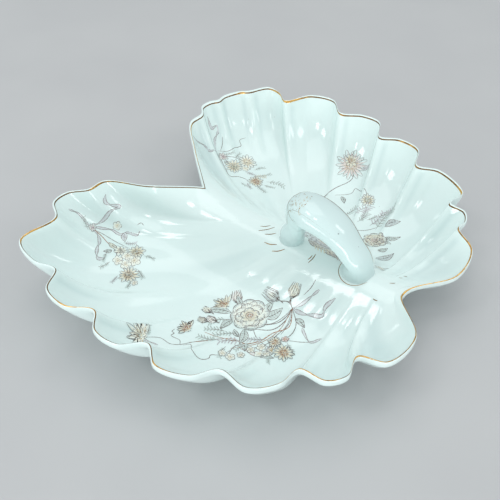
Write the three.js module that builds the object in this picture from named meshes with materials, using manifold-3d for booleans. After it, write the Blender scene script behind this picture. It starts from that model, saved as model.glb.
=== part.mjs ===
// A porcelain serving dish of two scallop shells that share a ridge, with a strap handle on the ridge.
// Millimetres. X runs along the ridge, +Y points to the rear shell, +Z is up, the table is at Z = 0.
import * as THREE from 'three';
import { mergeVertices } from 'three/addons/utils/BufferGeometryUtils.js';
import Module from 'manifold-3d';

const wasm = await Module();
wasm.setup();

// Rim in plan: the ends of the ridge, and how far the shells reach along it and out from it.
const CLEFT_X = -65;
const RIGHT_NOTCH_X = 109;
const LEFT_END_X = -133;
const RIGHT_END_X = 133;
const FRONT_REACH = 150;
const REAR_REACH = 151;

// Each row is one scallop: its two shoulders and the notch after it, as [x, distance from the ridge].
const FRONT_SCALLOPS = [
  [[CLEFT_X - 30, 31], [LEFT_END_X + 10, 49], [LEFT_END_X + 9, 64]],
  [[LEFT_END_X, 77], [LEFT_END_X + 1, 90], [LEFT_END_X + 16, 101]],
  [[LEFT_END_X + 15, FRONT_REACH - 20], [-94, FRONT_REACH - 13], [-77, FRONT_REACH - 17]],
  [[-68, FRONT_REACH - 3], [-48, FRONT_REACH - 1], [-31, FRONT_REACH - 10]],
  [[-19, FRONT_REACH], [-1, FRONT_REACH - 1], [13, FRONT_REACH - 13]],
  [[27, FRONT_REACH - 5], [47, FRONT_REACH - 12], [58, FRONT_REACH - 26]],
  [[77, FRONT_REACH - 26], [RIGHT_END_X - 43, 110], [RIGHT_END_X - 40, 95]],
  [[RIGHT_END_X - 24, 92], [RIGHT_END_X - 16, 81], [RIGHT_END_X - 19, 66]],
  [[RIGHT_END_X - 3, 58], [RIGHT_END_X, 29], [RIGHT_NOTCH_X, 0]],
];
const REAR_SCALLOPS = [
  [[CLEFT_X - 34, 27], [LEFT_END_X + 10, 50], [LEFT_END_X + 10, 64]],
  [[LEFT_END_X + 3, 73], [LEFT_END_X + 4, 82], [LEFT_END_X + 8, 88]],
  [[LEFT_END_X + 8, 97], [LEFT_END_X + 14, 110], [LEFT_END_X + 20, REAR_REACH - 35]],
  [[-103, REAR_REACH - 19], [-90, REAR_REACH - 20], [-78, REAR_REACH - 27]],
  [[-65, REAR_REACH - 6], [-45, REAR_REACH], [-29, REAR_REACH - 13]],
  [[-12, REAR_REACH - 4], [4, REAR_REACH - 4], [15, REAR_REACH - 22]],
  [[30, REAR_REACH - 15], [48, REAR_REACH - 18], [57, REAR_REACH - 37]],
  [[74, REAR_REACH - 32], [RIGHT_END_X - 34, 106], [RIGHT_END_X - 36, 90]],
  [[RIGHT_END_X - 24, 88], [RIGHT_END_X - 19, 79], [RIGHT_END_X - 20, 70]],
  [[RIGHT_END_X - 4, 57], [RIGHT_END_X - 2, 31], [RIGHT_NOTCH_X, 0]],
];

// Heights above the table.
const FLOOR_HEIGHT = 6;
const RIM_HEIGHT = 50;
const RIM_END_HEIGHT = 38;
const RIM_CLIMB = 40;
const RIDGE_LOW_HEIGHT = 31;

// Bowl shape: how far in the wall and the ridge reach, and the fan that the flutes follow.
const WALL_REACH = 27;
const RIDGE_REACH = 32;
const FAN_LEFT_X = -18;
const FAN_RIGHT_X = 107;
const FAN_SKEW = 0.5;
const NAVEL_X = 42;
const NAVEL_BLEND = 30;
const FAN_BEND = 0.45;
const LID_CURVE = 3;

// Porcelain wall and lip.
const WALL_DROP = 3.4;
const LIP_OVERHANG = 2;
const GILDING_WIDTH = 1;
const GILDING_HEIGHT = 0.3;
const JOINT_GAP = 0.3;

// Foot rings, one under each shell.
const FOOT_CENTRE_X = -2;
const FOOT_CENTRE_Y = 74;
const FOOT_HALF_LENGTH = 52;
const FOOT_HALF_DEPTH = 28;
const FOOT_WIDTH = 5;
const FOOT_BLANK_HEIGHT = 20;

// Handle: middle line of the strap over the ridge, from the left knob to the right tongue.
// Each row is [x, y, height, half width, half thickness].
const HANDLE_STATIONS = [
  [18, 1.5, 23, 7, 7.5],
  [19.5, 1.5, 36, 8.2, 9],
  [22, 1.5, 47, 8.2, 8.5],
  [23, 1, 58, 10, 9.5],
  [27, 0, 69.5, 13, 9.5],
  [39.5, -0.5, 72, 15, 8],
  [55, 0, 67, 14, 6.5],
  [67.5, 0.5, 56, 12, 5.5],
  [74.5, 1, 46.5, 11.5, 6.5],
  [74.5, 2, 37, 11, 10.5],
  [73.5, 2, 27, 10.7, 13.5],
];

// Gilt lines on the handle: where they start and end along its middle line, and how wide they are.
const HANDLE_GILDING_START = 29;
const HANDLE_GILDING_END = 109;
const HANDLE_GILDING_WIDTH = 1.6;

// Facets. A shoulder is the corner of the handle's section halfway from its side to its top.
const STEPS_PER_RIM_POINT = 3;
const FAN_STEPS = 10;
const FAN_END_CROWDING = 0.6;
const HANDLE_STEPS = 30;
const HANDLE_SIDES = 16;
const HANDLE_REAR_SHOULDER = HANDLE_SIDES / 8;
const HANDLE_FRONT_SHOULDER = HANDLE_SIDES / 2 - HANDLE_REAR_SHOULDER;
const HANDLE_SQUARENESS = 2.6;
const FOOT_SEGMENTS = 40;
const MERGE_DISTANCE = 1e-4;

const porcelain = new THREE.MeshStandardMaterial({ color: 0xe2ecea, roughness: 0.12, metalness: 0 });
const bareFoot = new THREE.MeshStandardMaterial({ color: 0xe6e1d6, roughness: 0.7, metalness: 0 });
const gold = new THREE.MeshStandardMaterial({ color: 0xb08a45, roughness: 0.35, metalness: 1 });

const lerp = THREE.MathUtils.lerp;

function rimCurve(scallops, side) {
  const points = [[CLEFT_X, 0], ...scallops.flat()];
  return new THREE.CatmullRomCurve3(points.map(([x, y]) => new THREE.Vector3(x, side * y, 0)));
}

// side is -1 for the front shell and 1 for the rear one.
function makeShellPlan(scallops, side) {
  return { rim: rimCurve(scallops, side), side, columns: scallops.length * 3 * STEPS_PER_RIM_POINT };
}

function rimHeight(distance) {
  return RIM_HEIGHT - (RIM_HEIGHT - RIM_END_HEIGHT) * Math.exp(-Math.abs(distance) / RIM_CLIMB);
}

// One point of a shell: along runs 0 to 1 round the rim, out runs 0 at the ridge to 1 at the rim.
function shellPoint(plan, along, out, under) {
  const rim = plan.rim.getPoint(along);
  const skewed = along + FAN_SKEW * along * along * (1 - along);
  const root = new THREE.Vector3(lerp(FAN_LEFT_X, FAN_RIGHT_X, skewed), 0, 0);
  const pull = Math.abs(rim.y) / (Math.abs(rim.y) + NAVEL_BLEND);
  const aim = new THREE.Vector3(lerp(root.x, NAVEL_X, pull), 0, 0);
  if (under) {
    rim.addScaledVector(rim.clone().sub(aim).normalize(), LIP_OVERHANG);
  }
  const bend = rim.clone().lerp(aim, FAN_BEND);
  const point = new THREE.QuadraticBezierCurve3(root, bend, rim).getPoint(out);
  const wallFall = 1 - Math.exp(-point.distanceTo(rim) / WALL_REACH);
  const ridgeFall = 1 - Math.exp(-((point.y / RIDGE_REACH) ** 2));
  const ridge = lerp(RIDGE_LOW_HEIGHT, RIM_END_HEIGHT, skewed);
  const lid = lerp(ridge, rimHeight(rim.y), out ** LID_CURVE);
  point.z = FLOOR_HEIGHT + (lid - FLOOR_HEIGHT) * (1 - wallFall * ridgeFall) - (under ? WALL_DROP : 0);
  return point;
}

// Rows of a shell from the ridge to the rim, closer together at both ends.
function fanRows() {
  const rows = [];
  for (let row = 0; row <= FAN_STEPS; row += 1) {
    const share = row / FAN_STEPS;
    rows.push(share - (FAN_END_CROWDING * Math.sin(2 * Math.PI * share)) / (2 * Math.PI));
  }
  return rows;
}

// The flat top of the lip starts at the rim line and is as wide as the gilding.
function lipLand(plan, along) {
  const inner = shellPoint(plan, along, 1, false);
  const outer = shellPoint(plan, along, 1, true);
  const outward = outer.clone().sub(inner).setZ(0).normalize();
  return [inner, inner.clone().addScaledVector(outward, GILDING_WIDTH)];
}

// A closed solid swept through section loops; flip turns its faces over, swap picks the other diagonals.
function sweepSolid(loops, { flip = false, swap = false } = {}) {
  const sides = loops[0].length;
  const corners = loops.flat();
  const triangles = [];
  for (let step = 0; step < loops.length - 1; step += 1) {
    for (let side = 0; side < sides; side += 1) {
      const next = (side + 1) % sides;
      const a = step * sides + side;
      const b = (step + 1) * sides + side;
      const c = (step + 1) * sides + next;
      const d = step * sides + next;
      triangles.push(...(swap ? [[a, b, d], [b, c, d]] : [[a, b, c], [a, c, d]]));
    }
  }
  const last = (loops.length - 1) * sides;
  for (let low = 0, high = sides - 1; low < high; low += 1, high -= 1) {
    triangles.push([low, low + 1, high], [last + low, last + high, last + low + 1]);
    if (low + 1 < high - 1) {
      triangles.push([low + 1, high - 1, high], [last + low + 1, last + high, last + high - 1]);
    }
  }
  const index = triangles.flatMap(([a, b, c]) => (flip ? [a, c, b] : [a, b, c]));
  const geometry = new THREE.BufferGeometry().setFromPoints(corners);
  geometry.setIndex(index);
  return geometry;
}

function sweepAlongRim(plan, sectionAt, options) {
  const loops = [];
  for (let column = 0; column <= plan.columns; column += 1) {
    loops.push(sectionAt(column / plan.columns));
  }
  return sweepSolid(loops, options);
}

function shellGeometry(plan) {
  const rows = fanRows();
  const sectionAt = (along) => {
    const inside = rows.map((out) => shellPoint(plan, along, out, false));
    const outside = rows.map((out) => shellPoint(plan, along, out, true));
    return [...inside, lipLand(plan, along)[1], ...outside.reverse()];
  };
  return sweepAlongRim(plan, sectionAt, { flip: plan.side < 0 });
}

// A block that trims what touches the shell: a joint gap off one face, on to the rim's height or the table.
function fittingBlock(plan, under) {
  const rows = fanRows();
  const gap = under ? -JOINT_GAP : JOINT_GAP;
  const farHeight = under ? RIM_HEIGHT : 0;
  const sectionAt = (along) => {
    const face = rows.map((out) => shellPoint(plan, along, out, under));
    const far = face.map((point) => point.clone().setZ(farHeight));
    face.forEach((point) => point.setZ(point.z + gap));
    return [...face, ...far.reverse()];
  };
  return sweepAlongRim(plan, sectionAt, { flip: under === plan.side > 0, swap: under });
}

function rimGildingGeometry(plan) {
  const sectionAt = (along) => {
    const [inner, outer] = lipLand(plan, along);
    const raise = new THREE.Vector3(0, 0, GILDING_HEIGHT);
    return [outer, inner, inner.clone().add(raise), outer.clone().add(raise)];
  };
  return sweepAlongRim(plan, sectionAt, { flip: plan.side < 0, swap: true });
}

// Rounded strap section: a squared-off oval whose corners are counted from the rear edge over the top.
function handleSections() {
  const path = new THREE.CatmullRomCurve3(HANDLE_STATIONS.map(([x, y, z]) => new THREE.Vector3(x, y, z)));
  const size = new THREE.CatmullRomCurve3(HANDLE_STATIONS.map(([, , , w, t]) => new THREE.Vector3(w, t, 0)));
  const distances = path.getLengths(HANDLE_STEPS);
  const across = new THREE.Vector3(0, 1, 0);
  return distances.map((distance, step) => {
    const share = step / HANDLE_STEPS;
    const centre = path.getPoint(share);
    const outward = path.getTangent(share).cross(across).normalize();
    const { x: halfWidth, y: halfThickness } = size.getPoint(share);
    const corners = [];
    for (let side = 0; side < HANDLE_SIDES; side += 1) {
      const angle = (2 * Math.PI * side) / HANDLE_SIDES;
      const [wide, thick] = [Math.cos(angle), Math.sin(angle)].map(
        (value) => Math.sign(value) * Math.abs(value) ** (2 / HANDLE_SQUARENESS),
      );
      const corner = centre.clone().addScaledVector(across, halfWidth * wide);
      corners.push(corner.addScaledVector(outward, halfThickness * thick));
    }
    return { distance, centre, corners };
  });
}

// A thin gilt line along the strap, a joint gap above the middle of the facet between two of its corners.
function handleGildingGeometry(lowCorner, highCorner) {
  const isGilt = ({ distance }) => distance > HANDLE_GILDING_START && distance < HANDLE_GILDING_END;
  const loops = handleSections().filter(isGilt).map(({ centre, corners }) => {
    const middle = corners[lowCorner].clone().lerp(corners[highCorner], 0.5);
    const halfLine = corners[highCorner].clone().sub(middle).setLength(HANDLE_GILDING_WIDTH / 2);
    const outward = middle.clone().sub(centre).normalize();
    const lower = middle.clone().addScaledVector(outward, JOINT_GAP);
    const upper = lower.clone().addScaledVector(outward, GILDING_HEIGHT);
    return [
      lower.clone().sub(halfLine), lower.clone().add(halfLine),
      upper.clone().add(halfLine), upper.clone().sub(halfLine),
    ];
  });
  return sweepSolid(loops);
}

function toSolid(geometry) {
  const bare = geometry.clone();
  bare.deleteAttribute('normal');
  bare.deleteAttribute('uv');
  const merged = mergeVertices(bare, MERGE_DISTANCE);
  return new wasm.Manifold(
    new wasm.Mesh({
      numProp: 3,
      vertProperties: new Float32Array(merged.attributes.position.array),
      triVerts: new Uint32Array(merged.index.array),
    }),
  );
}

function toGeometry(solid) {
  const mesh = solid.getMesh();
  const geometry = new THREE.BufferGeometry();
  geometry.setAttribute('position', new THREE.BufferAttribute(mesh.vertProperties, 3));
  geometry.setIndex(new THREE.BufferAttribute(mesh.triVerts, 1));
  return geometry;
}

function handleGeometry(frontPlan, rearPlan) {
  const strap = toSolid(sweepSolid(handleSections().map(({ corners }) => corners), { flip: true }));
  const [frontBlock, rearBlock] = [frontPlan, rearPlan].map((plan) => toSolid(fittingBlock(plan, false)));
  return toGeometry(strap.subtract(frontBlock).subtract(rearBlock));
}

function footRingGeometry(plan) {
  const centreY = plan.side * FOOT_CENTRE_Y;
  const outline = new THREE.Shape();
  outline.absellipse(FOOT_CENTRE_X, centreY, FOOT_HALF_LENGTH, FOOT_HALF_DEPTH, 0, 2 * Math.PI);
  const hole = new THREE.Path();
  hole.absellipse(
    FOOT_CENTRE_X, centreY, FOOT_HALF_LENGTH - FOOT_WIDTH, FOOT_HALF_DEPTH - FOOT_WIDTH, 0, 2 * Math.PI,
  );
  outline.holes.push(hole);
  const blank = new THREE.ExtrudeGeometry(outline, {
    depth: FOOT_BLANK_HEIGHT, bevelEnabled: false, curveSegments: FOOT_SEGMENTS,
  });
  return toGeometry(toSolid(blank).subtract(toSolid(fittingBlock(plan, true))));
}

function addPart(group, name, geometry, material) {
  const mesh = new THREE.Mesh(geometry, material);
  mesh.name = name;
  group.add(mesh);
}

const dish = new THREE.Group();
dish.name = 'double_shell_dish';
const frontPlan = makeShellPlan(FRONT_SCALLOPS, -1);
const rearPlan = makeShellPlan(REAR_SCALLOPS, 1);
addPart(dish, 'front_shell', shellGeometry(frontPlan), porcelain);
addPart(dish, 'rear_shell', shellGeometry(rearPlan), porcelain);
addPart(dish, 'handle', handleGeometry(frontPlan, rearPlan), porcelain);
addPart(dish, 'front_foot_ring', footRingGeometry(frontPlan), bareFoot);
addPart(dish, 'rear_foot_ring', footRingGeometry(rearPlan), bareFoot);
addPart(dish, 'front_rim_gilding', rimGildingGeometry(frontPlan), gold);
addPart(dish, 'rear_rim_gilding', rimGildingGeometry(rearPlan), gold);
const rearGilding = handleGildingGeometry(HANDLE_REAR_SHOULDER - 1, HANDLE_REAR_SHOULDER);
const frontGilding = handleGildingGeometry(HANDLE_FRONT_SHOULDER, HANDLE_FRONT_SHOULDER + 1);
addPart(dish, 'handle_rear_gilding', rearGilding, gold);
addPart(dish, 'handle_front_gilding', frontGilding, gold);

export default dish;
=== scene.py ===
"""A porcelain dish of two scallop shells with a strap handle, gilt edges and sepia flower prints."""
import math
from collections import namedtuple

import bpy
import numpy as np
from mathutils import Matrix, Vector
from mathutils.bvhtree import BVHTree
from mathutils.interpolate import poly_3d_calc


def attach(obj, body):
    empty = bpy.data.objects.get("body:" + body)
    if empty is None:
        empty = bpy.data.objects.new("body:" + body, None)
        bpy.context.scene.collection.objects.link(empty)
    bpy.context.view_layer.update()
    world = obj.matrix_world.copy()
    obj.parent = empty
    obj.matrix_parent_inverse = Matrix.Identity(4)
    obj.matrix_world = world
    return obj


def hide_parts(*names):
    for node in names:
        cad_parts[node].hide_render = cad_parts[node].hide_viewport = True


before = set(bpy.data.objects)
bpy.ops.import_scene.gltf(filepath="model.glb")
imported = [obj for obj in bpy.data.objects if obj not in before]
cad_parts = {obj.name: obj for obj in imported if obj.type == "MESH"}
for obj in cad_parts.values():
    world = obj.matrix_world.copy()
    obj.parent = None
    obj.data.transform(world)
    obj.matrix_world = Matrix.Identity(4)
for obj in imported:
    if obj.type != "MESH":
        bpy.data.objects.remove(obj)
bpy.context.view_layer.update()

# Lengths here are millimetres in the frame of the dish: X along the ridge, +Y to the rear, Z up.
MM = 0.001

# Rim in plan, as [x, distance from the ridge]: per scallop two shoulders and the notch after them.
CLEFT = (-65, 0)
RIGHT_NOTCH = (109, 0)
FRONT_RIM = [
    CLEFT,
    (-95, 31), (-123, 49), (-124, 64),
    (-133, 77), (-132, 90), (-117, 101),
    (-118, 130), (-94, 137), (-77, 133),
    (-68, 147), (-48, 149), (-31, 140),
    (-19, 150), (-1, 149), (13, 137),
    (27, 145), (47, 138), (58, 124),
    (77, 124), (90, 110), (93, 95),
    (109, 92), (117, 81), (114, 66),
    (130, 58), (133, 29), RIGHT_NOTCH,
]
REAR_RIM = [
    CLEFT,
    (-99, 27), (-123, 50), (-123, 64),
    (-130, 73), (-129, 82), (-125, 88),
    (-125, 97), (-119, 110), (-113, 116),
    (-103, 132), (-90, 131), (-78, 124),
    (-65, 145), (-45, 151), (-29, 138),
    (-12, 147), (4, 147), (15, 129),
    (30, 136), (48, 133), (57, 114),
    (74, 119), (99, 106), (97, 90),
    (109, 88), (114, 79), (113, 70),
    (129, 57), (131, 31), RIGHT_NOTCH,
]
RIM_STEPS = 10
SCALLOP_STEPS = 3 * RIM_STEPS

# Bowl heights and the fan of lines that the flutes follow from the rim to the ridge.
FLOOR_HEIGHT = 6
RIM_HEIGHT = 50
RIM_END_HEIGHT = 38
RIM_CLIMB = 40
RIDGE_LOW_HEIGHT = 31
WALL_REACH = 27
RIDGE_REACH = 32
FAN_X = (-18, 107)
FAN_SKEW = 0.5
NAVEL_X = 42
NAVEL_BLEND = 30
FAN_BEND = 0.45
LID_CURVE = 3
WALL_DROP = 3.4
INSIDE_ROWS = 56
OUTSIDE_ROWS = 40
ROW_CROWDING = 0.6
RIDGE_TOLERANCE = 1e-6

# The lip hangs over the wall and curls towards two guide points, as (share of the way across, height).
# It is drawn out wider along the left of the rear shell, by shares from the cleft round the rim.
LIP_OVERHANG = 1.72
LIP_GUIDES = ((0.3, 0.9), (1.1, 0.9))
LIP_ROWS = 8
FRONT_LIP_SHARES = (1, 1)
REAR_LIP_SHARES = (1.6, 2.5, 2.4, 1.4, 1, 1, 1, 1, 1, 1)

# The crests between the flutes are rounded off over a few steps, and swell into soft ribs with a shallow
# groove along either side. The ribs fade out at the rim, on the floor and on the ridge, and they are weak
# at the left of the front shell, by shares from the cleft round the rim.
CREST_STEPS = 9
CREASE_RIDGE_FADE = 12
RIB_HEIGHT = 1.1
RIB_HALF_WIDTH = 2.6
GROOVE_DEPTH = 0.9
GROOVE_OFFSET = 6
RIB_RIM_FADE = 6
RIB_FOOT = 12
RIB_CLIMB = 14
RIB_RIDGE_START = 18
RIB_RIDGE_FADE = 20
FRONT_FLUTE_SHARES = (0.1, 0.1, 0.6, 1, 1, 1, 1, 1, 1, 1, 1)
REAR_FLUTE_SHARES = (1, 1)
# The glaze is bluer and darker where it gathers: fully where a flute lies this deep below its neighbours,
# and by one share all over the handle. In the flute valleys this is partly the glaze's own pooling and
# partly painted shade; on the handle it is painted shade only, to tone down its lit top.
POOL_AND_SHADE_DEPTH = 2.2
HANDLE_PAINTED_SHADE = 0.65

# Strap handle: [x, y, height, half width, half thickness] from the left knob to the right tongue.
HANDLE_STATIONS = [
    (18, 1.5, 23, 7, 7.5),
    (18.5, 1.5, 31, 7.8, 8.4),
    (19, 1.5, 37.5, 8.2, 9),
    (21.5, 1.5, 45.5, 7, 7.4),
    (23, 1, 57.5, 9.8, 9.3),
    (27, 0, 69.5, 13, 9.5),
    (39.5, -0.5, 71.8, 15, 8),
    (55, 0, 67, 14, 6.5),
    (67.5, 0.5, 56, 12, 5.5),
    (74.5, 1, 46.5, 11.5, 6.5),
    (74.5, 2, 37, 11, 10.5),
    (73.5, 2, 27, 10.7, 13.5),
]
HANDLE_SQUARENESS = 2.25
HANDLE_STEPS = 12
HANDLE_SIDES = 48
# Above its roots the strap is rounder outside than inside: its edges drop by this share of the thickness.
HANDLE_EDGE_DROP = 0.6
STRAP_START = 44
STRAP_BLEND = 10
# Clay flares out where the roots are luted on, and they are let into the ridge.
LUTING_HEIGHT = 1.6
LUTING_FLARE = 0.5
SEAT_DEPTH = 1.2

# Gilding: a band of gold is domed across its columns, by these shares of its lift, fully from a width on.
GOLD_LIFT = 0.08
GOLD_DOME = (-0.4, 0.8, 1.0, 0.8, -0.4)
GOLD_COLUMNS = len(GOLD_DOME)
FULL_DOME_WIDTH = 0.5
# Wear comes in long and in short patches, as (steps along the line, share).
WEAR_PATCHES = ((14, 0.7), (4, 0.3))
# A rim line runs from below the rim's edge (minus) to above it, as (start, end where it is worn, end
# where it is thick). It lies inside the edge, or rides up on the lip by the shares below.
INSIDE_RIM_GOLD = (-1.5, -0.25, 1.1)
LIP_RIM_GOLD = (-0.3, 0.8, 1.9)
FRONT_GOLD_RIDE = (0, 0.2, 1, 1, 1, 1, 1)
REAR_GOLD_RIDE = (0, 0, 0, 0, 0, 0, 0, 0, 0, 0.9, 1)
RIM_GOLD_ROWS = 6
RIM_WEAR_CONTRAST = 2
RIM_WORN_AWAY = 0.55
# Lines on the strap, as (distance from the left root, section corner), each with its widths.
REAR_EDGE_LINE = ((29, 6.5), (109, 6.5))
REAR_EDGE_WIDTHS = (1.2, 1.4, 1.2, 1.0)
FRONT_EDGE_LINE = ((29, 19), (109, 19))
FRONT_EDGE_WIDTHS = (0.3, 0.2, 0.03, 0.03, 0.03)
SHOULDER_LINE = ((42, 23), (45, 19), (46, 15), (47.5, 11), (50, 7))
SHOULDER_WIDTHS = (0.3, 0.8, 1.0, 1.0, 1.2)
STRAP_LINE_STEPS = 80
WORN_LINE_SHARE = 0.7
LINE_WEAR_SHARE = 0.6
STRAP_LINE_SHINE = 0.5
# Touches of the brush stippled on the left shoulder, within a span of distances and corners.
STIPPLE_SPAN = (47, 55)
STIPPLE_CORNERS = (11, 20)
STIPPLE_TOUCHES = 70
STIPPLE_SIZES = (0.25, 0.7)
STIPPLE_SLIMNESS = 0.3
STIPPLE_SIDES = 6
STIPPLE_SHINE = 0.6
# Iron specks in the glaze of the strap, as (distance, corner, size), with a wavy, fading edge.
SPECKS = ((80, 16, 0.75), (95, 12, 0.4))
SPECK_SIDES = 8
SPECK_WAVES = 3
SPECK_WAVE_SHARE = 0.2
SPECK_EDGE_COVER = 0.3

# Foot rings, one oval under each shell.
FOOT_CENTRE = (-2, 74)
FOOT_HALF_SIZE = (52, 28)
FOOT_WIDTH = 5
FOOT_EDGE = 1.2
FOOT_EDGE_STEPS = 5
FOOT_BARE_SHARE = 0.9
FOOT_STEPS = 120

# Prints: each motif lies a hair above the glaze and above the motifs laid before it.
PRINT_LIFT = 0.04
PRINT_LIFT_STEP = 0.004
TINT_STEP = 1.2
LEAST_TINT_ROWS = 3
ABOVE_DISH = 200
ABOVE_GLAZE = 10
LINE = 0.48
FINE_LINE = 0.34
BOLD_LINE = 0.7
STROKE_END = 0.35
STROKE_STEPS = 3
TRAIL_STEPS = 6
RIBBON_STEPS = 8
RIBBON_COVERS = (0.7, 0.5, 0.3, 0.45, 0.75)

# Stage, in metres: soft lamps as (name, place, width, depth, watts, spread in degrees). The low strips
# shine through a grid, so that they light the dish and not the floor beside them.
FLOOR_REACH = 20.0
STUDIO_STRENGTH = 0.83
LAMPS = (
    ("overhead_panel", (-0.4, 0.3, 2.2), 1.6, 1.6, 10.8, 180),
    ("left_pane", (-0.42, -0.76, 1.39), 0.32, 0.34, 2.3, 180),
    ("right_pane", (0.11, -0.80, 1.38), 0.2, 0.28, 1.5, 180),
    ("front_strip", (-0.25, -1.4, 0.14), 1.4, 0.2, 1.3, 80),
    ("right_strip", (1.1, -0.85, 0.14), 1.4, 0.2, 1.3, 80),
    ("far_pane", (1.08, 0.50, 1.07), 0.3, 0.6, 2.4, 180),
    ("low_left_pane", (-1.38, -0.12, 0.80), 0.12, 0.25, 0.3, 180),
)
CAMERA_PLACE = (0.192, -0.26467, 0.348)
CAMERA_TILT = 44
CAMERA_YAW = 38.6
CAMERA_SENSOR = 36
CAMERA_LENS = 43.92

Shell = namedtuple("Shell", "inside lip outside pools")


def spline(points, steps):
    """Centripetal curve through the points, with the same number of steps in each span."""
    knots = np.asarray(points, float)
    knots = np.vstack([2 * knots[0] - knots[1], knots, 2 * knots[-1] - knots[-2]])
    share = np.linspace(0, 1, steps, endpoint=False)[:, None]
    spans = []
    for before, start, end, after in zip(knots, knots[1:], knots[2:], knots[3:]):
        gap_in, gap, gap_out = np.linalg.norm([start - before, end - start, after - end], axis=1) ** 0.5
        chord = end - start
        leave = ((start - before) / gap_in - (end - before) / (gap_in + gap)) * gap + chord
        arrive = ((after - end) / gap_out - (after - start) / (gap + gap_out)) * gap + chord
        curve = (3 * chord - 2 * leave - arrive) * share**2 + (leave + arrive - 2 * chord) * share**3
        spans.append(start + leave * share + curve)
    return np.vstack([*spans, knots[-2:-1]])


def crowded(rows):
    """Shares from 0 to 1 that lie closer together at both ends."""
    share = np.linspace(0, 1, rows)
    return share - ROW_CROWDING * np.sin(2 * math.pi * share) / (2 * math.pi)


def shell_face(rim, rows, overhang=None):
    """One face of a shell as a grid of points: along the rim, then from the ridge out to the rim.

    The under face is given the overhang of the lip at each step along the rim."""
    under = overhang is not None
    along = np.linspace(0, 1, len(rim))
    skewed = along + FAN_SKEW * along**2 * (1 - along)
    root = np.stack([np.interp(skewed, (0, 1), FAN_X), 0 * along], 1)
    reach = np.abs(rim[:, 1])
    pull = reach / (reach + NAVEL_BLEND)
    aim = np.stack([root[:, 0] + (NAVEL_X - root[:, 0]) * pull, 0 * along], 1)
    if under:
        outward = rim - aim
        rim = rim + overhang[:, None] * unit(outward)
        reach = np.abs(rim[:, 1])
    bend = rim + (aim - rim) * FAN_BEND
    out = crowded(rows)[None, :, None]
    plan = root[:, None] * (1 - out) ** 2 + 2 * bend[:, None] * out * (1 - out) + rim[:, None] * out**2
    to_rim = np.linalg.norm(plan - rim[:, None], axis=2)
    wall_fall = 1 - np.exp(-to_rim / WALL_REACH)
    ridge_fall = 1 - np.exp(-((plan[..., 1] / RIDGE_REACH) ** 2))
    ridge = RIDGE_LOW_HEIGHT + (RIM_END_HEIGHT - RIDGE_LOW_HEIGHT) * skewed
    edge = RIM_HEIGHT - (RIM_HEIGHT - RIM_END_HEIGHT) * np.exp(-reach / RIM_CLIMB)
    lid = ridge[:, None] + (edge - ridge)[:, None] * out[..., 0] ** LID_CURVE
    height = FLOOR_HEIGHT + (lid - FLOOR_HEIGHT) * (1 - wall_fall * ridge_fall)
    return np.dstack([plan, height - (WALL_DROP if under else 0)])


def lip_curve(inner, outer):
    """Rounded lip from the inner rim edge over to the outer one, with both edges left out."""
    over = (outer - inner) * [1, 1, 0]
    rise = np.array([0, 0, 1.0])
    first, second = (inner + across * over + height * rise for across, height in LIP_GUIDES)
    share = np.linspace(0, 1, LIP_ROWS + 2)[1:-1][None, :, None]
    ends = inner[:, None] * (1 - share) ** 3 + outer[:, None] * share**3
    middle = first[:, None] * share * (1 - share) ** 2 + second[:, None] * share**2 * (1 - share)
    return ends + 3 * middle


def unit(vectors):
    """The same vectors at length 1."""
    return vectors / np.maximum(np.linalg.norm(vectors, axis=-1, keepdims=True), 1e-9)


def upward_normals(grid):
    """Normals of a grid of points, turned to point up."""
    normals = unit(np.cross(np.gradient(grid, axis=0), np.gradient(grid, axis=1)))
    return np.where(normals[..., 2:] < 0, -normals, normals)


def evened(heights, steps):
    """Heights of a grid evened out along the rim, over that many steps."""
    window = np.hanning(steps + 2)[1:-1]
    window /= window.sum()
    padded = np.pad(heights, ((steps, steps), (0, 0)), mode="edge")
    return np.apply_along_axis(np.convolve, 0, padded, window, mode="same")[steps:-steps]


def spaced(shares, steps):
    """Shares spread evenly along a line, such as the rim, at each of that many steps."""
    return np.interp(np.arange(steps), np.linspace(0, steps, len(shares)), shares)


def glaze_pools_and_shade(inside, flutes):
    """How deep each point of the inside lies below its neighbouring flutes, from 0 to 1: glaze pooling and
    painted shade in the valleys.
    """
    heights = inside[..., 2]
    return np.clip((evened(heights, SCALLOP_STEPS) - heights) / POOL_AND_SHADE_DEPTH, 0, 1) * flutes[:, None]


def soften_creases(face):
    """Round off the creases between the flutes, except close to the rim and on the ridge."""
    heights = face[..., 2]
    to_rim = np.linalg.norm(face - face[:, -1:], axis=2)
    fade = np.clip(to_rim / RIB_RIM_FADE, 0, 1) * np.clip(np.abs(face[..., 1]) / CREASE_RIDGE_FADE, 0, 1)
    face[..., 2] += (evened(heights, CREST_STEPS) - heights) * fade


def raise_ribs(inside, flutes):
    """Swell the crests between the flutes into soft ribs that fade out on the floor and at the rim."""
    lengths = np.linalg.norm(np.diff(inside, axis=0), axis=2)
    along = np.vstack([0 * lengths[:1], np.cumsum(lengths, axis=0)])
    to_rim = np.linalg.norm(inside - inside[:, -1:], axis=2)
    fade = np.clip(to_rim / RIB_RIM_FADE, 0, 1) * np.clip((inside[..., 2] - RIB_FOOT) / RIB_CLIMB, 0, 1)
    fade *= np.clip((np.abs(inside[..., 1]) - RIB_RIDGE_START) / RIB_RIDGE_FADE, 0, 1)
    lift = np.zeros(fade.shape)
    for notch in range(SCALLOP_STEPS, len(inside) - 1, SCALLOP_STEPS):
        away = np.abs(along - along[notch])
        lift += RIB_HEIGHT * np.exp(-((away / RIB_HALF_WIDTH) ** 2))
        lift -= GROOVE_DEPTH * np.exp(-(((away - GROOVE_OFFSET) / RIB_HALF_WIDTH) ** 2))
    inside[..., 2] += lift * fade * flutes[:, None]


def srgb(hex_colour):
    """Linear RGBA from an sRGB hex value."""
    channels = [int(hex_colour[i:i + 2], 16) / 255 for i in (1, 3, 5)]
    return [c / 12.92 if c <= 0.04045 else ((c + 0.055) / 1.055) ** 2.4 for c in channels] + [1]


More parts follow.
